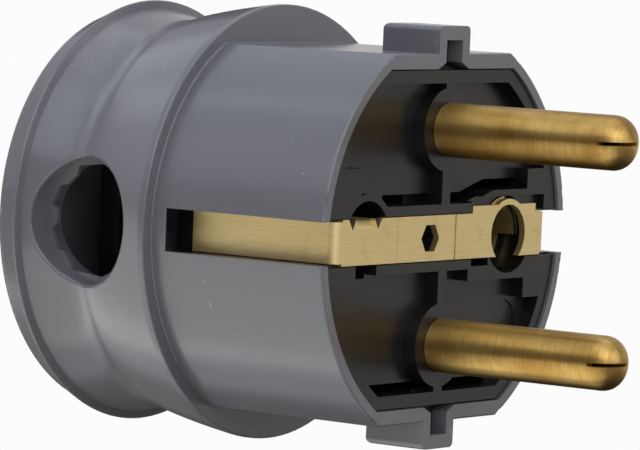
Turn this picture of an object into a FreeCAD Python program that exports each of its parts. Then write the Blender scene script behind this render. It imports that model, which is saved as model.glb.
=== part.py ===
import FreeCAD, Part
import math
import os

# A rewirable type E/F mains plug with side cable entry, in millimetres.
# The plug stands on its flat rear disc: +Z runs along the pins, X along the pin line,
# and the cable entry faces -Y. The origin is the middle of the rear face.

# Pins
pin_diameter = 4.8
pin_spacing = 19.0
pin_reach = 19.0
pin_wall = 0.8
pin_neck = 0.25
tip_slit_width = 0.32
tip_slit_length = 2.1
tip_slit_depth = 3.1
dome_height = 1.97
dome_shoulder = 0.6
dome_crown = 0.62
tab_width = 6.0
tab_thickness = 1.6
tab_length = 10.0

# Grip cover
front_height = 36.15
nose_length = 18.55
nose_radius = 18.5
nose_flat = 16.22
nose_draft = 0.12
nose_root = 0.14
nose_wall = 0.95
flat_wall = 1.35
rim_round = 0.2
collar_radius = 19.6
collar_band = 0.6
collar_round = 0.16
waist_radius = 17.59
waist_height = 8.15
waist_wall = 3.59
disc_radius = 19.3
disc_band = 2.7
disc_taper = 1.0
disc_round = 0.5
disc_edge_round = 0.16
disc_lip = 0.8
disc_lip_rise = 0.25
rear_wall = 2.6
seat_step = 0.5

# Curve of the grip: lean of the two flares per mm of height at the waist, the run over which they blend,
# and the reach of the curve's controls as fractions of its rise
rear_lean = 0.1
front_lean = 0.4
waist_blend = 1.2
waist_curve_rise = 0.45
flare_lower_rise = 0.285
flare_upper_rise = 0.765
collar_lean = 0.3

# Guide ribs on the two flats, with the notch that keys the carrier
rib_width = 4.6
rib_reach = 18.64
rib_length = 6.15
rib_round = 0.5
notch_width = 2.4
notch_reach = 17.4
notch_mouth = 4.7
notch_depth = 5.4

# Cable entry, with its radius and its height as fractions of the run between disc and collar
entry_share = 0.393
entry_level = 0.47
entry_round = 0.28

# What is left of the break-out skin in the cable entry: its place and thickness, and its torn edge
# as turns from the rear side of the entry in degrees and fractions of the entry's radius
skin_depth = 1.8
skin_thickness = 0.45
torn_edge = [(-7, 0.83), (7, 0.82), (12, 0.95), (32, 0.93), (40, 0.82), (57, 0.82), (64, 0.93), (95, 0.9),
             (140, 0.95), (180, 0.89), (220, 0.94), (262, 0.9), (300, 0.94), (308, 0.87), (322, 0.86),
             (328, 0.95), (348, 0.94)]

# Contact carrier
carrier_drop = 0.25
carrier_clearance = 0.12
carrier_frame = 1.15
plate_thickness = 4.75
pocket_depth = 1.3
web_width = 1.25
bar_half_width = 2.95
boss_radius = 3.7
land_start = 12.65
land_reach = 5.8
near_land_reach = 6.4
socket_block_half_width = 4.0
slot_width = 0.9
pilaster_half_width = 4.2
pilaster_wall = 0.85
key_recess = 1.5
window_spans = [(-13.05, -10.0, 1.24), (4.3, 6.9, 0.6)]
ejector_place = (7.95, 11.4)
ejector_radius = 1.95
ejector_depth = 0.15
post_radius = 4.5
tower_width = 6.4

# Earth strip and its contacts
strip_thickness = 0.6
strip_width = 4.0
leg_width = 3.62
leg_span = 32.0
leg_length = 15.5
bend_radius = 0.9
strip_drop = 0.3
side_slot_width = 3.8
side_slot_length = 16.87
side_slot_fall = 3.4
earth_offset = 10.0
earth_hole_radius = 2.65
earth_pocket_radius = 3.5
arch_radius = 3.15
arch_run = 5.65
arch_inset = 0.5
arch_gap = 0.3
sleeve_radius = 2.45
sleeve_wall = 0.5
sleeve_length = 10.0
sleeve_flange = 0.85
sleeve_gap_angle = 60.0
sleeve_gap_turn = 15.0
sleeve_mouth_angle = 140.0
sleeve_mouth_depth = 2.5
sleeve_step = 0.8
hexagon_across_flats = 2.35
hexagon_offset = 2.05
hexagon_depth = 1.5
lug_place = 11.8
lug_neck = 2.64
lug_width = 4.9
lug_length = 13.5
lug_neck_length = 5.5
lug_hole_place = 11.5
lug_hole_radius = 3.1
lug_hole_shift = 0.45
lug_wall = 0.6
relief_width = 1.1
relief_depth = 0.95
score_place = 1.75
score_width = 0.25
score_depth = 0.15

# Screws
terminal_screw_diameter = 3.0
terminal_screw_head = 5.2
terminal_head_height = 1.9
terminal_screw_length = 6.5
washer_side = 5.0
washer_thickness = 0.9
terminal_drop = 6.5
clamp_screw_diameter = 3.0
clamp_screw_head = 5.2
clamp_head_height = 1.6
clamp_screw_grip = 8.0
clamp_spacing = 15.2
clamp_place = 8.0
clamp_post_radius = 2.6
clamp_bar_thickness = 2.2
clamp_bar_width = 4.6
clamp_bar_corner = 2.0
clamp_bar_height = 7.55
clamp_saddle_rise = 4.6
clamp_bridge = 4.0
cover_screw_diameter = 4.0
cover_screw_head = 7.2
cover_head_height = 2.4
cover_screw_length = 13.0
cover_head_recess = 3.2
cover_boss_radius = 5.5
cover_boss_height = 6.0
nut_across = 7.0
nut_thickness = 3.2
nut_height = 9.5
screw_drive_width = 0.8
screw_drive_depth = 0.9
head_crown = 0.45

# Clearances
screw_clearance = 0.2
slide_clearance = 0.1
seat_clearance = 0.05

# How far a cut runs past the face it opens
overcut = 1.0

# Levels that follow from the sizes above
collar_height = front_height - nose_length
grip_run = collar_height - collar_band - disc_band
entry_radius = entry_share * grip_run
entry_height = disc_band + entry_level * grip_run
seat_height = collar_height + seat_step
cavity_radius = waist_radius - waist_wall
bay_radius = nose_radius - nose_wall
bay_flat = nose_flat - flat_wall
carrier_top = front_height - carrier_drop
carrier_radius = bay_radius - carrier_clearance
carrier_flat = bay_flat - carrier_clearance
plate_bottom = carrier_top - plate_thickness
pocket_floor = carrier_top - pocket_depth
strip_top = front_height - strip_drop
strip_bottom = strip_top - strip_thickness
leg_outer = leg_span / 2
leg_inner = leg_outer - strip_thickness
pin_x = pin_spacing / 2
pin_radius = pin_diameter / 2
neck_radius = pin_radius - pin_neck
shoulder_height = carrier_top + seat_clearance
terminal_height = plate_bottom - terminal_drop
tab_inner = pin_x - tab_thickness / 2
tab_outer = pin_x + tab_thickness / 2
lug_bottom = strip_bottom - lug_length
lug_outer = strip_width / 2
lug_inner = lug_outer - strip_thickness
lug_top_of_wide = strip_bottom - lug_neck_length
block_start = 2 * earth_offset - land_start - earth_pocket_radius
block_full = earth_offset - earth_hole_radius
mouth_floor = strip_bottom - sleeve_mouth_depth


def vec(x, y, z):
    return FreeCAD.Vector(x, y, z)


def box(x0, x1, y0, y1, z0, z1):
    """A block between two corners."""
    return Part.makeBox(x1 - x0, y1 - y0, z1 - z0, vec(x0, y0, z0))


def rod(radius, length, base, direction=(0, 0, 1)):
    """A round bar from a base point along a direction."""
    return Part.makeCylinder(radius, length, vec(*base), vec(*direction))


def prism(points, z0, z1):
    """A closed outline of XY points, pulled from one level to another."""
    outline = [vec(x, y, z0) for x, y in points]
    face = Part.Face(Part.makePolygon(outline + outline[:1]))
    return face.extrude(vec(0, 0, z1 - z0))


def cross_bar(points, half_width):
    """A closed outline of YZ points, pulled across X to both sides of the middle."""
    outline = [vec(-half_width, y, z) for y, z in points]
    face = Part.Face(Part.makePolygon(outline + outline[:1]))
    return face.extrude(vec(2 * half_width, 0, 0))


def hexagon(across_flats, x, y, z0, z1):
    """A hexagonal bar with its corners along Y."""
    corner = across_flats / math.sqrt(3)
    angles = [math.radians(60 * i + 90) for i in range(6)]
    return prism([(x + corner * math.cos(a), y + corner * math.sin(a)) for a in angles], z0, z1)


def flatted(radius, flat, z0, z1):
    """A round bar with two flats across X."""
    return rod(radius, z1 - z0, (0, 0, z0)).common(box(-flat, flat, -radius, radius, z0, z1))


def drafted(radius, flat, draft, z0, z1):
    """As a flatted bar, but narrower by the draft at its lower end."""
    cone = Part.makeCone(radius - draft, radius, z1 - z0, vec(0, 0, z0))
    low = flat - draft
    outline = [vec(x, -radius, z) for x, z in ((-low, z0), (low, z0), (flat, z1), (-flat, z1))]
    face = Part.Face(Part.makePolygon(outline + outline[:1]))
    return cone.common(face.extrude(vec(0, 2 * radius, 0)))


def bezier(points):
    """A smooth edge drawn in the XZ plane by its control points."""
    curve = Part.BezierCurve()
    curve.setPoles([vec(x, 0, z) for x, z in points])
    return curve.toShape()


def line(start, end):
    return Part.LineSegment(vec(start[0], 0, start[1]), vec(end[0], 0, end[1])).toShape()


def quarter(start, through, end):
    return Part.Arc(*[vec(x, 0, z) for x, z in (start, through, end)]).toShape()


def rounded_corner(corner_x, corner_z, radius, upper):
    """Arc over an outer corner of a turned profile, from below to above."""
    side = -1 if upper else 1
    inner_x = corner_x - radius
    inner_z = corner_z + side * radius
    middle = (inner_x + radius * math.sqrt(0.5), inner_z - side * radius * math.sqrt(0.5))
    on_face = (inner_x, corner_z)
    on_side = (corner_x, inner_z)
    ends = (on_side, on_face) if upper else (on_face, on_side)
    return quarter(ends[0], middle, ends[1])


def grip_body():
    """The spool-shaped grip: rear disc, waist and collar turned from one profile."""
    collar_start = collar_height - collar_band
    flare_rise = collar_start - waist_height
    waist_run = waist_height - disc_band
    rear_radius = disc_radius - disc_taper
    rear_reach = (1 - waist_curve_rise) * waist_run
    front_reach = flare_lower_rise * flare_rise
    rear_end = (waist_radius + rear_lean * waist_blend, waist_height - waist_blend)
    front_end = (waist_radius + front_lean * waist_blend, waist_height + waist_blend)
    lip_end = (disc_radius - disc_lip, disc_band + disc_lip_rise)
    lip_to_waist = [
        lip_end,
        (waist_radius + rear_lean * rear_reach, waist_height - rear_reach),
        rear_end,
    ]
    waist_to_collar = [
        front_end,
        (waist_radius + front_lean * front_reach, waist_height + front_reach),
        (collar_radius - collar_lean, waist_height + flare_upper_rise * flare_rise),
        (collar_radius, collar_start),
    ]
    edges = [
        line((0, 0), (rear_radius - disc_round, 0)),
        rounded_corner(rear_radius, 0, disc_round, upper=False),
        line((rear_radius, disc_round), (disc_radius, disc_band)),
        line((disc_radius, disc_band), lip_end),
        bezier(lip_to_waist),
        bezier([rear_end, (waist_radius, waist_height), front_end]),
        bezier(waist_to_collar),
        line((collar_radius, collar_start), (collar_radius, collar_height - collar_round)),
        rounded_corner(collar_radius, collar_height, collar_round, upper=True),
        line((collar_radius - collar_round, collar_height), (0, collar_height)),
        line((0, collar_height), (0, 0)),
    ]
    spool = Part.Face(Part.Wire(edges)).revolve(vec(0, 0, 0), vec(0, 0, 1), 360)
    disc_edge = [e for e in spool.Edges if abs(e.BoundBox.ZMin - disc_band) < 1e-6
                 and abs(e.BoundBox.ZMax - disc_band) < 1e-6]
    return spool.makeFillet(disc_edge_round, disc_edge)


def guide_rib(side):
    """A bar on the flat of the nose, rounded on its outer edges and at its rear end."""
    x0, x1 = sorted((side * (nose_flat - flat_wall / 2), side * rib_reach))
    rib = box(x0, x1, -rib_width / 2, rib_width / 2, front_height - rib_length, front_height)
    outer = [e for e in rib.Edges if abs(e.CenterOfMass.x - side * rib_reach) < 1e-6]
    rounded = [e for e in outer if e.CenterOfMass.z < front_height - 1e-6]
    return rib.makeFillet(rib_round, rounded)


def key_notch(side, margin, z0, z1, reach):
    """The keyway outline at a flat, widened at its mouth, less a margin all round."""
    half = notch_width / 2 - margin
    mouth = notch_mouth / 2 - margin
    root = side * (bay_flat - carrier_clearance - flat_wall)
    lip = side * bay_flat
    throat = side * (bay_flat + (notch_mouth - notch_width) / 4)
    end = side * (reach - margin)
    half_outline = [(root, mouth), (lip, mouth), (throat, half), (end, half)]
    mirrored = [(x, -y) for x, y in reversed(half_outline)]
    return prism(half_outline + mirrored, z0, z1)


def torn_skin():
    """The ragged rim that is left of the break-out skin across the cable entry."""
    inner = cavity_radius + skin_depth - skin_thickness
    rim = rod(entry_radius + seat_clearance, skin_thickness, (0, 0, inner))
    hole = []
    for turn, share in torn_edge:
        angle = math.radians(turn)
        hole.append((-share * entry_radius * math.sin(angle), -share * entry_radius * math.cos(angle)))
    rim = rim.cut(prism(hole, inner - overcut, inner + skin_thickness + overcut))
    rim.rotate(vec(0, 0, 0), vec(1, 0, 0), 90)
    rim.translate(vec(0, 0, entry_height))
    return rim


def on_entry_mouth(edge):
    """Whether an edge runs round the outer mouth of the cable entry."""
    point = edge.valueAt((edge.FirstParameter + edge.LastParameter) / 2)
    off_axis = math.hypot(point.x, point.z - entry_height)
    return abs(off_axis - entry_radius) < 1e-3 and point.y < -cavity_radius - waist_wall / 4


def make_grip_cover():
    """One moulding: the grip, the flatted nose with its ribs, and the bay for the carrier."""
    nose = drafted(nose_radius, nose_flat, nose_draft, collar_height - collar_band, front_height)
    rim = [e for e in nose.Edges if e.BoundBox.ZMin > front_height - 1e-6]
    nose = nose.makeFillet(rim_round, rim)
    body = grip_body().fuse(nose)
    root = [e for e in body.Edges if abs(e.BoundBox.ZMin - collar_height) < 1e-6
            and e.BoundBox.ZLength < 1e-6 and e.BoundBox.YMax < nose_radius]
    body = body.makeFillet(nose_root, root).fuse([guide_rib(1), guide_rib(-1)])

    bay = flatted(bay_radius, bay_flat, seat_height, front_height + overcut)
    chamber = rod(cavity_radius, seat_height - rear_wall, (0, 0, rear_wall))
    body = body.cut([bay, chamber])

    entry = rod(entry_radius, collar_radius, (0, 0, entry_height), (0, -1, 0))
    body = body.cut(entry)
    body = body.makeFillet(entry_round, [e for e in body.Edges if on_entry_mouth(e)])

    boss = rod(cover_boss_radius, cover_boss_height - rear_wall / 2, (0, 0, rear_wall / 2))
    body = body.fuse([boss, torn_skin()]).removeSplitter()

    slot = side_slot_width / 2
    slot_end = front_height - side_slot_length
    slot_outline = [
        (2 * nose_radius, slot_end), (nose_radius, slot_end),
        (cavity_radius, slot_end - side_slot_fall),
        (cavity_radius, front_height + overcut), (2 * nose_radius, front_height + overcut),
    ]
    cuts = []
    for side in (1, -1):
        cuts.append(cross_bar([(side * y, z) for y, z in slot_outline], slot))
        cuts.append(key_notch(side, 0, front_height - notch_depth, front_height + overcut, notch_reach))
    head_room = cover_screw_head / 2 + screw_clearance
    cuts.append(rod(head_room, cover_head_recess + overcut, (0, 0, -overcut)))
    cuts.append(rod(cover_screw_diameter / 2 + screw_clearance, cover_boss_height + overcut, (0, 0, 0)))
    return body.cut(cuts)


def pocket_cutter():
    """What is scooped out of the carrier's face: four pockets between frame, bar, web and bosses."""
    top = carrier_top + overcut
    cutter = flatted(carrier_radius - carrier_frame, carrier_flat - carrier_frame, pocket_floor, top)
    far = 2 * nose_radius
    bar_outline = [
        (-bar_half_width, -far), (-bar_half_width, block_start),
        (-socket_block_half_width, block_full), (-socket_block_half_width, far),
        (socket_block_half_width, far), (socket_block_half_width, block_start),
        (bar_half_width, block_start), (bar_half_width, -far),
    ]
    keep = [prism(bar_outline, pocket_floor, top),
            box(-far, far, -web_width / 2, web_width / 2, pocket_floor, top),
            box(-land_reach, land_reach, land_start, far, pocket_floor, top),
            box(-near_land_reach, near_land_reach, -far, -land_start, pocket_floor, top),
            rod(lug_hole_radius + lug_wall, top - pocket_floor,
                (-lug_hole_shift, -lug_hole_place, pocket_floor))]
    for side in (1, -1):
        keep.append(rod(boss_radius, top - pocket_floor, (side * pin_x, 0, pocket_floor)))
    return cutter.cut(keep)


def core_slots():
    """Narrow openings through the pocket floors, beside the bar and beside the frame."""
    low = plate_bottom - overcut
    high = pocket_floor
    near_end = lug_hole_place - lug_hole_radius - lug_wall
    web = web_width / 2
    bar = bar_half_width
    block = socket_block_half_width
    frame_edge = carrier_flat - carrier_frame
    frame_run = math.sqrt((carrier_radius - carrier_frame) ** 2 - frame_edge ** 2)
    edge = [(bar, web), (bar, block_start), (block, block_full), (block, land_start)]
    along_bar = [(-x, y) for x, y in edge] + [(-x - slot_width, y) for x, y in reversed(edge)]
    return [box(-bar - slot_width, -bar, -near_end, -web, low, high),
            prism(along_bar, low, high),
            box(frame_edge - slot_width, frame_edge, -frame_run, -web, low, high),
            box(frame_edge - slot_width, frame_edge, web, frame_run, low, high)]


def carrier_supports():
    """What stands behind the plate: strip pilasters, terminal towers, clamp posts and the screw post."""
    into_plate = plate_bottom + plate_thickness / 2
    shell = flatted(carrier_radius, carrier_flat, seat_height, into_plate)
    solids = []
    for side in (1, -1):
        y0, y1 = sorted((side * (leg_inner - pilaster_wall), side * 2 * nose_radius))
        half = pilaster_half_width
        solids.append(shell.common(box(-half, half, y0, y1, seat_height, into_plate)))
        x0, x1 = sorted((side * post_radius / 2, side * (tab_inner - seat_clearance)))
        tower_end = plate_bottom - tab_length
        solids.append(box(x0, x1, -tower_width / 2, tower_width / 2, tower_end, into_plate))
        clamp_x = side * clamp_spacing / 2
        solids.append(rod(clamp_post_radius, into_plate - clamp_bar_height,
                          (clamp_x, -clamp_place, clamp_bar_height)))
    saddle = clamp_bar_height + clamp_saddle_rise
    y0 = -clamp_place - clamp_bridge / 2
    solids.append(box(-clamp_spacing / 2, clamp_spacing / 2, y0, y0 + clamp_bridge,
                      saddle, saddle + clamp_bridge))
    solids.append(box(-lug_inner + seat_clearance, lug_inner, -lug_place - lug_width / 2,
                      -lug_place + lug_width / 2, lug_bottom, into_plate))
    solids.append(rod(post_radius, into_plate - cover_boss_height - seat_clearance,
                      (0, 0, cover_boss_height + seat_clearance)))
    return solids


def earth_sector(angle, start):
    """A wedge round the axis of the earth hole, open to the side off the arch, from a height upwards."""
    reach = 2 * (sleeve_radius + sleeve_wall)
    spread = reach * math.tan(math.radians(angle / 2))
    sector = prism([(0, 0), (reach, -spread), (reach, spread)], start, strip_top)
    sector.rotate(vec(0, 0, 0), vec(0, 0, 1), sleeve_gap_turn)
    sector.translate(vec(0, earth_offset, 0))
    return sector


def make_contact_carrier():
    """The moulded insert that holds pins, earth strip and terminals."""
    plate = flatted(carrier_radius, carrier_flat, plate_bottom, carrier_top)
    keys = [key_notch(side, slide_clearance, front_height - notch_depth + slide_clearance,
                      front_height - key_recess, notch_reach) for side in (1, -1)]
    body = plate.cut([pocket_cutter()] + core_slots())
    body = body.fuse(carrier_supports() + keys)

    channel = strip_width / 2 + slide_clearance
    leg_channel = side_slot_width / 2
    far = 2 * nose_radius
    top = carrier_top + overcut
    lug_hole = rod(lug_hole_radius, plate_thickness + 2 * overcut,
                   (-lug_hole_shift, -lug_hole_place, plate_bottom - overcut))
    shelf = box(-lug_outer + bend_radius, far, -far, 0, plate_bottom - overcut, top)
    cuts = [box(-channel, channel, -far, far, strip_bottom, top),
            box(-leg_channel, leg_channel, leg_inner - seat_clearance, far, seat_height - overcut, top),
            box(-leg_channel, leg_channel, -far, -leg_inner + seat_clearance, seat_height - overcut, top),
            hexagon(hexagon_across_flats, 0, -hexagon_offset, strip_bottom - hexagon_depth, top),
            lug_hole.cut(shelf),
            box(-arch_radius - arch_gap, 0, earth_offset - arch_run - slide_clearance,
                leg_inner, strip_bottom, top),
            rod(earth_pocket_radius, plate_thickness, (0, earth_offset, strip_bottom - sleeve_wall)),
            rod(earth_pocket_radius, plate_thickness, (0, earth_offset, mouth_floor)).common(
                earth_sector(sleeve_mouth_angle, mouth_floor)),
            rod(sleeve_radius + sleeve_wall + slide_clearance, plate_thickness + 2 * overcut,
                (0, earth_offset, plate_bottom - overcut))]
    for side in (1, -1):
        pin_base = (side * pin_x, 0, plate_bottom - overcut)
        cuts.append(rod(neck_radius + seat_clearance, plate_thickness + 2 * overcut, pin_base))
        shank = terminal_screw_diameter / 2 + screw_clearance
        cuts.append(rod(shank, pin_x - post_radius, (side * post_radius, 0, terminal_height), (side, 0, 0)))
        clamp_hole = clamp_screw_diameter / 2 + seat_clearance
        cuts.append(rod(clamp_hole, clamp_screw_grip + slide_clearance,
                        (side * clamp_spacing / 2, -clamp_place, clamp_bar_height)))
    cuts.append(rod(terminal_screw_diameter / 2 + screw_clearance, terminal_screw_length,
                    (-lug_outer, -lug_place, terminal_height), (1, 0, 0)))
    fold = bend_radius - strip_thickness
    for end in (leg_inner, -leg_inner):
        inward = math.copysign(fold, -end)
        cuts.append(cross_bar([(end, strip_bottom), (end + inward, strip_bottom),
                               (end, strip_bottom - fold)], leg_channel))
    for start, stop, width in window_spans:
        cuts.append(box(channel, channel + width, start, stop, plate_bottom - overcut, top))
    cuts.append(rod(ejector_radius, pocket_depth, (*ejector_place, pocket_floor - ejector_depth)))
    cuts.append(rod(cover_screw_diameter / 2 + seat_clearance, cover_screw_length,
                    (0, 0, cover_boss_height)))
    pocket = nut_across / 2 + slide_clearance
    cuts.append(box(-pocket, pocket, -pocket, far, nut_height - slide_clearance,
                    nut_height + nut_thickness + slide_clearance))
    return body.cut(cuts).removeSplitter()


def make_contact_pin(side):
    """A drawn tube with a domed, slit tip, necked where it passes the plate and flattened behind it."""
    tip = front_height + pin_reach
    dome_start = tip - dome_height
    shank = rod(pin_radius, dome_start - shoulder_height, (0, 0, shoulder_height))
    cap_edges = [
        line((0, dome_start), (pin_radius, dome_start)),
        bezier([(pin_radius, dome_start), (pin_radius, dome_start + dome_shoulder * dome_height),
                (dome_crown * pin_radius, tip), (0, tip)]),
        line((0, tip), (0, dome_start)),
    ]
    cap = Part.Face(Part.Wire(cap_edges)).revolve(vec(0, 0, 0), vec(0, 0, 1), 360)
    neck = rod(neck_radius, shoulder_height - plate_bottom, (0, 0, plate_bottom))
    body = shank.fuse([cap, neck])
    bore = rod(pin_radius - pin_wall, dome_start - plate_bottom, (0, 0, plate_bottom))
    slit = box(-tip_slit_width / 2, tip_slit_width / 2, -pin_radius, tip_slit_depth - pin_radius,
               tip - tip_slit_length, tip + overcut)
    body = body.cut([bore, slit])
    tab = box(-tab_thickness / 2, tab_thickness / 2, -tab_width / 2, tab_width / 2,
              plate_bottom - tab_length, plate_bottom)
    ends = [e for e in tab.Edges if abs(e.CenterOfMass.z - plate_bottom + tab_length) < 1e-6
            and e.BoundBox.XLength > tab_thickness / 2]
    tab = tab.makeFillet(tab_width / 4, [e for e in ends if e.BoundBox.YLength < 1e-6])
    tab = tab.cut(rod(terminal_screw_diameter / 2 + seat_clearance, tab_thickness * 2,
                      (-tab_thickness, 0, terminal_height), (1, 0, 0)))
    body = body.fuse(tab).removeSplitter()
    body.translate(vec(side * pin_x, 0, 0))
    return body


def make_earth_strip():
    """Brass sheet folded over the face and down both sides, with a lug turned in and an arched eye."""
    leg_end = strip_top - leg_length
    outer = box(-leg_width / 2, leg_width / 2, -leg_outer, leg_outer, leg_end, strip_top)
    inner = box(-leg_width / 2, leg_width / 2, -leg_inner, leg_inner, leg_end - overcut, strip_bottom)
    top_edges = [e for e in outer.Edges if abs(e.CenterOfMass.z - strip_top) < 1e-6
                 and e.BoundBox.XLength > leg_width / 2]
    bent = outer.makeFillet(bend_radius, top_edges)
    fold_edges = [e for e in inner.Edges if abs(e.CenterOfMass.z - strip_bottom) < 1e-6
                  and e.BoundBox.XLength > leg_width / 2]
    bent = bent.cut(inner.makeFillet(bend_radius - strip_thickness, fold_edges))

    half = strip_width / 2
    run = leg_outer - bend_radius
    face = box(-half, half, -run, run, strip_bottom, strip_top)
    eye = (0, earth_offset, strip_bottom)
    arch = rod(arch_radius, strip_thickness, eye)
    shoulder = box(-arch_radius + arch_inset, 0, earth_offset - arch_run, run - bend_radius,
                   strip_bottom, strip_top)
    arch = arch.fuse(shoulder).common(box(-arch_radius, 0, 0, run, strip_bottom, strip_top))
    relief = []
    for y in (-lug_place - lug_neck / 2 - relief_width, -lug_place + lug_neck / 2):
        notch = [(-half - overcut, y), (-half, y), (-half + relief_depth, y + relief_width / 2),
                 (-half, y + relief_width), (-half - overcut, y + relief_width)]
        relief.append(prism(notch, strip_bottom - overcut, strip_top + overcut))
    sheet = bent.fuse([face, arch]).cut(relief)

    y0 = -lug_place - lug_neck / 2
    y1 = -lug_place + lug_neck / 2
    turned = box(-lug_outer, 0, y0, y1, lug_top_of_wide, strip_top)
    crown = [e for e in turned.Edges if abs(e.CenterOfMass.z - strip_top) < 1e-6
             and abs(e.CenterOfMass.x + lug_outer) < 1e-6]
    under = box(-lug_inner, overcut, y0 - overcut, y1 + overcut, lug_top_of_wide - overcut, strip_bottom)
    fold = [e for e in under.Edges if abs(e.CenterOfMass.z - strip_bottom) < 1e-6
            and abs(e.CenterOfMass.x + lug_inner) < 1e-6]
    neck = turned.makeFillet(bend_radius, crown).cut(under.makeFillet(bend_radius - strip_thickness, fold))
    blade = box(-lug_outer, -lug_inner, -lug_place - lug_width / 2, -lug_place + lug_width / 2,
                lug_bottom, lug_top_of_wide)
    turned_edge = box(-half - overcut, -lug_outer + bend_radius, y0, y1, strip_bottom, strip_top)
    holes = [box(-half, half, score_place - score_width / 2, score_place + score_width / 2,
                 strip_top - score_depth, strip_top),
             rod(earth_hole_radius, 3 * strip_thickness, (0, earth_offset, strip_bottom - strip_thickness)),
             hexagon(hexagon_across_flats, 0, -hexagon_offset, strip_bottom - overcut, strip_top + overcut),
             rod(terminal_screw_diameter / 2 + seat_clearance, 2 * strip_width,
                 (-strip_width, -lug_place, terminal_height), (1, 0, 0))]
    return sheet.cut(turned_edge).fuse([neck, blade]).cut(holes).removeSplitter()


def make_earth_socket_contact():
    """Split sleeve with a flange under the strip's eye, cut away at its mouth on the side off the arch."""
    flange_z = strip_bottom - sleeve_wall
    low = strip_bottom - sleeve_length
    outer_radius = sleeve_radius + sleeve_wall
    tube = rod(outer_radius, sleeve_length, (0, 0, low))
    flange = rod(sleeve_radius + sleeve_flange, sleeve_wall, (0, 0, flange_z))
    reach = 2 * outer_radius
    cuts = [rod(sleeve_radius, sleeve_length + 2 * overcut, (0, 0, low - overcut)),
            box(-reach, reach, 0, reach, strip_bottom - sleeve_step, strip_top)]
    body = tube.fuse(flange).cut(cuts)
    body.translate(vec(0, earth_offset, 0))
    return body.cut([earth_sector(sleeve_gap_angle, low - overcut),
                     earth_sector(sleeve_mouth_angle, mouth_floor)])


def make_screw(diameter, length, head, head_height):
    """A pan-head screw with a straight slot, head up from the seat at the origin, shank down."""
    top = rod(head / 2, head_height, (0, 0, 0))
    rim = [e for e in top.Edges if abs(e.CenterOfMass.z - head_height) < 1e-6]
    top = top.makeFillet(head_height * head_crown, rim)
    shank = rod(diameter / 2, length, (0, 0, -length))
    point = [e for e in shank.Edges if abs(e.CenterOfMass.z + length) < 1e-6]
    shank = shank.makeChamfer(diameter / 8, point)
    slot = box(-screw_drive_width / 2, screw_drive_width / 2, -head, head,
               head_height - screw_drive_depth, head_height + overcut)
    return top.cut(slot).fuse(shank)


def placed(shape, base, turn_axis=None, angle=0):
    copy = shape.copy()
    if turn_axis:
        copy.rotate(vec(0, 0, 0), vec(*turn_axis), angle)
    copy.translate(vec(*base))
    return copy


def terminal_seats():
    """Where the three wire terminals stand: a point on the tab's outer face and the way it faces."""
    return [((tab_outer, 0, terminal_height), 90),
            ((-tab_outer, 0, terminal_height), -90),
            ((-lug_outer, -lug_place, terminal_height), -90)]


def make_clamp_washers():
    side = washer_side / 2
    washer = box(-side, side, -side, side, 0, washer_thickness)
    corners = [e for e in washer.Edges if e.BoundBox.ZLength > washer_thickness / 2]
    washer = washer.makeFillet(washer_side / 8, corners)
    washer = washer.cut(rod(terminal_screw_diameter / 2 + screw_clearance / 2, 3 * washer_thickness,
                            (0, 0, -washer_thickness)))
    return [placed(washer, base, (0, 1, 0), angle) for base, angle in terminal_seats()]


def make_terminal_screws():
    screw = make_screw(terminal_screw_diameter, terminal_screw_length, terminal_screw_head,
                       terminal_head_height)
    screws = []
    for (x, y, z), angle in terminal_seats():
        outward = washer_thickness if angle > 0 else -washer_thickness
        screws.append(placed(screw, (x + outward, y, z), (0, 1, 0), angle))
    return screws


def make_cable_clamp_bar():
    """A ribbed bar that presses the cable against the carrier's saddle."""
    length = clamp_spacing + 2 * clamp_post_radius
    low = clamp_bar_height - clamp_bar_thickness
    half = clamp_bar_width / 2
    bar = box(-length / 2, length / 2, -half, half, low, clamp_bar_height)
    corners = [e for e in bar.Edges if e.BoundBox.ZLength > clamp_bar_thickness / 2]
    bar = bar.makeFillet(clamp_bar_corner, corners)
    ridges = []
    for y in (-half / 2, half / 2):
        start = (-clamp_spacing / 4, y, clamp_bar_height)
        ridges.append(rod(clamp_bar_thickness / 4, clamp_spacing / 2, start, (1, 0, 0)))
    bar = bar.fuse(ridges)
    for side in (1, -1):
        bar = bar.cut(rod(clamp_screw_diameter / 2 + screw_clearance, 2 * clamp_bar_thickness,
                          (side * clamp_spacing / 2, 0, low - overcut)))
    bar.translate(vec(0, -clamp_place, 0))
    return bar


def make_cable_clamp_screws():
    screw = make_screw(clamp_screw_diameter, clamp_screw_grip + clamp_bar_thickness, clamp_screw_head,
                       clamp_head_height)
    low = clamp_bar_height - clamp_bar_thickness
    places = [(side * clamp_spacing / 2, -clamp_place, low) for side in (1, -1)]
    return [placed(screw, place, (1, 0, 0), 180) for place in places]


def make_cover_screw():
    screw = make_screw(cover_screw_diameter, cover_screw_length, cover_screw_head, cover_head_height)
    return placed(screw, (0, 0, cover_head_recess), (1, 0, 0), 180)


def make_cover_nut():
    side = nut_across / 2
    nut = box(-side, side, -side, side, nut_height, nut_height + nut_thickness)
    return nut.cut(rod(cover_screw_diameter / 2 + seat_clearance, nut_thickness + 2 * overcut,
                       (0, 0, nut_height - overcut)))


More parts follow.
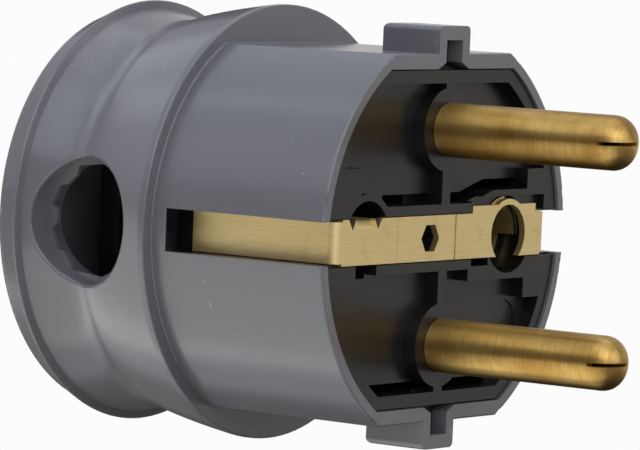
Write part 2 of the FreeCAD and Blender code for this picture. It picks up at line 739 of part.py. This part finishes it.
def main():
    pieces = {
        "grip_cover": make_grip_cover(),
        "contact_carrier": make_contact_carrier(),
        "contact_pin_1": make_contact_pin(-1),
        "contact_pin_2": make_contact_pin(1),
        "earth_strip": make_earth_strip(),
        "earth_socket_contact": make_earth_socket_contact(),
        "terminal_screws": Part.makeCompound(make_terminal_screws()),
        "clamp_washers": Part.makeCompound(make_clamp_washers()),
        "cable_clamp_bar": make_cable_clamp_bar(),
        "cable_clamp_screws": Part.makeCompound(make_cable_clamp_screws()),
        "cover_screw": make_cover_screw(),
        "cover_nut": make_cover_nut(),
    }
    os.makedirs("parts", exist_ok=True)
    for name, shape in pieces.items():
        print(name, "solids", len(shape.Solids), "valid", shape.isValid(), "volume", round(shape.Volume, 1))
        shape.exportStep("parts/" + name + ".step")


main()
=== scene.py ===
import math

import bpy
from mathutils import Matrix, Vector

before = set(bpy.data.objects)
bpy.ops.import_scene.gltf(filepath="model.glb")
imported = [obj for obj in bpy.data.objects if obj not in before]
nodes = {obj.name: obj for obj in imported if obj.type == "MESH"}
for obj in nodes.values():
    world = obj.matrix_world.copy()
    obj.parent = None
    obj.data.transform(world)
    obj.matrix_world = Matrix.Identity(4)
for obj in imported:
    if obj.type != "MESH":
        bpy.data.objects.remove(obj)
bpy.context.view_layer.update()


# Grip cover: the grey shell that the hand holds, one injection moulding in ABS.
# The tool was polished, so it has a soft satin gloss. Flow of the melt leaves faint clouds,
# and handling leaves fine pale specks.
def linear(hex_colour):
    """An sRGB hex colour as linear RGBA: c / 12.92 up to 0.04045, ((c + 0.055) / 1.055) ^ 2.4 above."""
    channels = [int(hex_colour[i:i + 2], 16) / 255 for i in (1, 3, 5)]
    return [c / 12.92 if c <= 0.04045 else ((c + 0.055) / 1.055) ** 2.4 for c in channels] + [1.0]


def add(tree, kind, inputs=None, **settings):
    """Adds a node with its settings, and sets or links each named input."""
    node = tree.nodes.new("ShaderNode" + kind)
    for name, value in settings.items():
        setattr(node, name, value)
    for name, value in (inputs or {}).items():
        if isinstance(value, bpy.types.NodeSocket):
            tree.links.new(value, node.inputs[name])
        else:
            node.inputs[name].default_value = value
    return node


def start_material(name):
    """An empty node material, with its tree and the surface's own coordinates in metres."""
    material = bpy.data.materials.new(name)
    material.use_nodes = True
    tree = material.node_tree
    tree.nodes.clear()
    return material, tree, add(tree, "TexCoord").outputs["Object"]


def dress(node_names, material):
    """Gives CAD nodes this material in every slot they have."""
    for name in node_names:
        for slot in nodes[name].material_slots:
            slot.material = material


MM = 0.001

grey_abs, tree, place = start_material("moulded_grey_abs")
cloud_size = 11 * MM
speck_spacing = 0.8 * MM
grain_size = 0.3 * MM
grain_height = 0.05 * MM
clouds = add(tree, "TexNoise", {"Vector": place, "Scale": 1 / cloud_size, "Detail": 2.0})
tint = add(tree, "Mix", {"Factor": clouds.outputs["Fac"], "A": linear("#5d5d61"),
                         "B": linear("#636367")}, data_type="RGBA")
specks = add(tree, "TexNoise", {"Vector": place, "Scale": 1 / speck_spacing, "Detail": 3.0})
speck_mask = add(tree, "MapRange", {"Value": specks.outputs["Fac"], "From Min": 0.7,
                                    "From Max": 0.78, "To Max": 0.5})
colour = add(tree, "Mix", {"Factor": speck_mask.outputs["Result"], "A": tint.outputs["Result"],
                           "B": linear("#8a8a90")}, data_type="RGBA")
gloss = add(tree, "MapRange", {"Value": clouds.outputs["Fac"], "To Min": 0.20, "To Max": 0.27})
grain = add(tree, "TexNoise", {"Vector": place, "Scale": 1 / grain_size, "Detail": 2.0})
bump = add(tree, "Bump", {"Height": grain.outputs["Fac"], "Strength": 0.05, "Distance": grain_height})
surface = add(tree, "BsdfPrincipled", {"Base Color": colour.outputs["Result"], "IOR": 1.53,
                                       "Roughness": gloss.outputs["Result"],
                                       "Normal": bump.outputs["Normal"]})
add(tree, "OutputMaterial", {"Surface": surface.outputs["BSDF"]})
dress(["grip_cover"], grey_abs)


# Contact carrier: the black insert that holds all metal, one moulding in filled nylon.
# It is glossy enough to mirror the pins, and a little duller in clouds where the filler lies open.
# The cable clamp bar is of the same stock.
black_nylon, tree, place = start_material("moulded_black_nylon")
flow_size = 6 * MM
grit_size = 0.22 * MM
grit_height = 0.05 * MM
flow = add(tree, "TexNoise", {"Vector": place, "Scale": 1 / flow_size, "Detail": 3.0})
colour = add(tree, "Mix", {"Factor": flow.outputs["Fac"], "A": linear("#101010"),
                           "B": linear("#161616")}, data_type="RGBA")
gloss = add(tree, "MapRange", {"Value": flow.outputs["Fac"], "To Min": 0.22, "To Max": 0.36})
grit = add(tree, "TexNoise", {"Vector": place, "Scale": 1 / grit_size, "Detail": 2.0})
bump = add(tree, "Bump", {"Height": grit.outputs["Fac"], "Strength": 0.06, "Distance": grit_height})
surface = add(tree, "BsdfPrincipled", {"Base Color": colour.outputs["Result"], "IOR": 1.47,
                                       "Roughness": gloss.outputs["Result"],
                                       "Normal": bump.outputs["Normal"]})
add(tree, "OutputMaterial", {"Surface": surface.outputs["BSDF"]})
dress(["contact_carrier", "cable_clamp_bar"], black_nylon)


# Contact pins: brass tube drawn to size, domed and slit at the tip, then tumbled.
# The fixture leaves hair-fine marks round the pin, and the brass has started to tan in patches.
pin_brass, tree, place = start_material("drawn_pin_brass")
mark_width = 0.14 * MM
mark_length = 1.6 * MM
mark_depth = 0.03 * MM
tan_size = 3.5 * MM
around = add(tree, "Mapping", {"Vector": place,
                               "Scale": (1 / mark_length, 1 / mark_length, 1 / mark_width)})
marks = add(tree, "TexNoise", {"Vector": around.outputs["Vector"], "Scale": 1.0, "Detail": 3.0})
tan = add(tree, "TexNoise", {"Vector": place, "Scale": 1 / tan_size, "Detail": 4.0})
mark_share = add(tree, "MapRange", {"Value": marks.outputs["Fac"], "From Min": 0.3, "From Max": 0.75})
tan_share = add(tree, "MapRange", {"Value": tan.outputs["Fac"], "From Min": 0.42,
                                   "From Max": 0.72, "To Max": 0.7})
clean = add(tree, "Mix", {"Factor": mark_share.outputs["Result"], "A": linear("#c0a262"),
                          "B": linear("#aa8846")}, data_type="RGBA")
colour = add(tree, "Mix", {"Factor": tan_share.outputs["Result"], "A": clean.outputs["Result"],
                           "B": linear("#906c2c")}, data_type="RGBA")
gloss = add(tree, "MapRange", {"Value": marks.outputs["Fac"], "To Min": 0.34, "To Max": 0.50})
bump = add(tree, "Bump", {"Height": marks.outputs["Fac"], "Strength": 0.1, "Distance": mark_depth})
pin_axis = add(tree, "CombineXYZ", {"Z": 1.0})
surface = add(tree, "BsdfPrincipled", {"Base Color": colour.outputs["Result"], "Metallic": 1.0,
                                       "Roughness": gloss.outputs["Result"],
                                       "Normal": bump.outputs["Normal"], "Anisotropic": 0.7,
                                       "Tangent": pin_axis.outputs["Vector"]})
add(tree, "OutputMaterial", {"Surface": surface.outputs["BSDF"]})
dress(["contact_pin_1", "contact_pin_2"], pin_brass)


# Earth strip and earth socket contact: pressed from rolled brass sheet.
# Rolling leaves an even satin face with hair-fine lines along the strip. The press leaves small
# dull stains. One faint dark line across the strip beside the lug is painted shade, where the sheet
# steps at a pressed joggle.
strip_brass, tree, place = start_material("rolled_strip_brass")
line_spacing = 0.12 * MM
line_length = 2.5 * MM
line_depth = 0.03 * MM
stain_size = 2.2 * MM
step_shade_y = -7.0 * MM
step_shade_half_width = 0.07 * MM
along = add(tree, "Mapping", {"Vector": place,
                              "Scale": (1 / line_spacing, 1 / line_length, 1 / line_length)})
lines = add(tree, "TexNoise", {"Vector": along.outputs["Vector"], "Scale": 1.0, "Detail": 3.0})
stain = add(tree, "TexNoise", {"Vector": place, "Scale": 1 / stain_size, "Detail": 4.0})
line_share = add(tree, "MapRange", {"Value": lines.outputs["Fac"], "From Min": 0.25, "From Max": 0.8})
sheet = add(tree, "Mix", {"Factor": line_share.outputs["Result"], "A": linear("#e4d19c"),
                          "B": linear("#d9c386")}, data_type="RGBA")
stain_share = add(tree, "MapRange", {"Value": stain.outputs["Fac"], "From Min": 0.55,
                                     "From Max": 0.8, "To Max": 0.5})
stained = add(tree, "Mix", {"Factor": stain_share.outputs["Result"], "A": sheet.outputs["Result"],
                            "B": linear("#c2a35e")}, data_type="RGBA")
axes = add(tree, "SeparateXYZ", {"Vector": place})
# A thin dark band across the strip beside the lug: painted shade of the sheet's pressed step, not a mark
# on the brass.
step_shade_band = add(tree, "Math", {0: axes.outputs["Y"], 1: step_shade_y, 2: step_shade_half_width},
                 operation="COMPARE")
step_shade_share = add(tree, "MapRange", {"Value": step_shade_band.outputs["Value"], "To Max": 0.22})
colour = add(tree, "Mix", {"Factor": step_shade_share.outputs["Result"], "A": stained.outputs["Result"],
                           "B": linear("#6e5428")}, data_type="RGBA")
gloss = add(tree, "MapRange", {"Value": lines.outputs["Fac"], "To Min": 0.40, "To Max": 0.50})
bump = add(tree, "Bump", {"Height": lines.outputs["Fac"], "Strength": 0.05, "Distance": line_depth})
surface = add(tree, "BsdfPrincipled", {"Base Color": colour.outputs["Result"], "Metallic": 1.0,
                                       "Roughness": gloss.outputs["Result"],
                                       "Normal": bump.outputs["Normal"]})
add(tree, "OutputMaterial", {"Surface": surface.outputs["BSDF"]})
dress(["earth_strip", "earth_socket_contact"], strip_brass)


# Screws, clamp washers and nut: steel, turned or pressed, with a bright zinc plating.
# The plating is mottled at the size of a fingerprint ridge.
zinc_steel, tree, place = start_material("zinc_plated_steel")
mottle_size = 0.5 * MM
mottle = add(tree, "TexNoise", {"Vector": place, "Scale": 1 / mottle_size, "Detail": 3.0})
colour = add(tree, "Mix", {"Factor": mottle.outputs["Fac"], "A": linear("#c9ccd0"),
                           "B": linear("#a9adb2")}, data_type="RGBA")
gloss = add(tree, "MapRange", {"Value": mottle.outputs["Fac"], "To Min": 0.25, "To Max": 0.4})
surface = add(tree, "BsdfPrincipled", {"Base Color": colour.outputs["Result"], "Metallic": 1.0,
                                       "Roughness": gloss.outputs["Result"]})
add(tree, "OutputMaterial", {"Surface": surface.outputs["BSDF"]})
dress(["terminal_screws", "clamp_washers", "cable_clamp_screws", "cover_screw", "cover_nut"],
      zinc_steel)


# Floor: a plain pale sheet of opal acrylic on a light table, on which the plug stands.
# It glows evenly, so it closes the picture with white and lets the lamps below it shine through.
# It is clear from below and a hair lower than the rear face, so that this face can be seen too.
floor_half = 4.0
floor_gap = 0.05 * MM
corner_signs = ((-1, -1), (1, -1), (1, 1), (-1, 1))
corners = [(x * floor_half, y * floor_half, -floor_gap) for x, y in corner_signs]
floor_mesh = bpy.data.meshes.new("floor")
floor_mesh.from_pydata(corners, [], [(0, 1, 2, 3)])
floor = bpy.data.objects.new("floor", floor_mesh)
bpy.context.collection.objects.link(floor)
floor.visible_diffuse = False
floor.visible_glossy = False
floor.visible_shadow = False
opal_sheet, tree, _ = start_material("opal_sheet")
glow = add(tree, "Emission", {"Color": linear("#fcfcfc"), "Strength": 1.0})
clear = add(tree, "BsdfTransparent")
side = add(tree, "NewGeometry")
surface = add(tree, "MixShader", {0: side.outputs["Backfacing"], 1: glow.outputs["Emission"],
                                  2: clear.outputs["BSDF"]})
add(tree, "OutputMaterial", {"Surface": surface.outputs["Shader"]})
floor_mesh.materials.append(opal_sheet)


# Light: a tent of white cloth round the light table, lit from outside, so that soft panels shine
# on the plug from all round. Left is the side of the first pin, where daylight is a little cooler,
# and right that of the second. The cloth between the panels looks white but gives hardly any light.
tent_radius = 0.6
tent_middle = Vector((0, 0, 25 * MM))


def softbox(name, azimuth, elevation, width, height, brightness, hex_colour):
    """An area light in the tent's wall that faces the plug; watts = brightness * pi * width * height."""
    lamp = bpy.data.lights.new(name, "AREA")
    lamp.shape = "RECTANGLE"
    lamp.size = width
    lamp.size_y = height
    lamp.energy = brightness * math.pi * width * height
    lamp.color = linear(hex_colour)[:3]
    around, rise = math.radians(azimuth), math.radians(elevation)
    toward = Vector((math.cos(rise) * math.cos(around), math.cos(rise) * math.sin(around),
                     math.sin(rise)))
    panel = bpy.data.objects.new(name, lamp)
    panel.location = tent_middle + toward * tent_radius
    panel.rotation_euler = toward.to_track_quat("Z", "Y").to_euler()
    panel.visible_camera = False
    bpy.context.collection.objects.link(panel)


softbox("left_front_low_panel", 220, -45, 0.48, 0.34, 0.84, "#e3eaff")
softbox("left_front_middle_panel", 220, 0, 0.48, 0.66, 1.85, "#eef3ff")
softbox("left_front_high_panel", 220, 44, 0.48, 0.24, 2.27, "#fcfdff")
softbox("left_rear_low_panel", 174, -45, 0.48, 0.34, 0.97, "#e3ecff")
softbox("left_rear_middle_panel", 174, 0, 0.48, 0.66, 1.60, "#f7f9ff")
softbox("left_rear_high_panel", 174, 44, 0.48, 0.24, 0.39, "#f4f7ff")
softbox("right_front_panel", 316, -34, 0.64, 0.96, 1.60, "#fffbf9")
softbox("right_front_high_panel", 316, 26, 0.60, 0.40, 1.44, "#fcfdff")
softbox("right_rear_panel", 358, -34, 0.30, 0.96, 0.82, "#f3f6ff")
softbox("under_left_panel", 180, -68, 1.00, 0.45, 0.41, "#fbf5ff")
softbox("under_right_panel", 0, -68, 1.00, 0.45, 0.14, "#fff7ec")
softbox("top_left_panel", 180, 68, 1.00, 0.45, 1.65, "#f8f9ff")
softbox("top_right_panel", 0, 68, 1.00, 0.45, 0.17, "#fff0db")
softbox("rear_left_panel", 134, -5, 0.40, 0.80, 0.65, "#fefdff")
softbox("rear_middle_panel", 95, -5, 0.40, 0.80, 0.79, "#fff9f8")
softbox("rear_top_middle_panel", 85, 40, 0.34, 0.28, 0.55, "#fffaf4")
softbox("camera_middle_panel", 266, 4, 0.40, 0.36, 0.48, "#ffeee2")
softbox("camera_high_panel", 268, 46, 0.60, 0.35, 0.29, "#faf8ff")

tent = bpy.data.worlds.new("tent")
bpy.context.scene.world = tent
tent.use_nodes = True
tree = tent.node_tree
tree.nodes.clear()
ray = add(tree, "LightPath")
cloth_strength = add(tree, "MapRange", {"Value": ray.outputs["Is Camera Ray"], "To Min": 0.02,
                                        "To Max": 1.0})
cloth = add(tree, "Background", {"Color": linear("#fcfcfc"),
                                 "Strength": cloth_strength.outputs["Result"]})
add(tree, "OutputWorld", {"Surface": cloth.outputs["Background"]})


# Camera: a long lens nearly half a metre away, looking down past the cable entry at the pins.
# It is rolled so that the pins point to the right of the picture.
camera_azimuth = math.radians(4.9956)
camera_elevation = math.radians(36.2706)
camera_roll = math.radians(95.4027)
camera_distance = 0.4512
camera_aim = Vector((-0.639, -6.405, 26.999)) * MM
forward = Vector((math.sin(camera_azimuth) * math.cos(camera_elevation),
                  math.cos(camera_azimuth) * math.cos(camera_elevation),
                  -math.sin(camera_elevation)))
level = forward.cross(Vector((0, 0, 1))).normalized()
upright = level.cross(forward)
right = level * math.cos(camera_roll) + upright * math.sin(camera_roll)
up = right.cross(forward)
lens = bpy.data.cameras.new("photo_camera")
lens.sensor_width = 36.0
lens.lens = 288.49
lens.clip_start = 0.05
lens.clip_end = 20.0
camera = bpy.data.objects.new("photo_camera", lens)
spot = camera_aim - forward * camera_distance
turn = Matrix((right, up, -forward)).transposed().to_4x4()
camera.matrix_world = Matrix.Translation(spot) @ turn
bpy.context.collection.objects.link(camera)
bpy.context.scene.camera = camera
bpy.context.scene.view_settings.view_transform = "Standard"
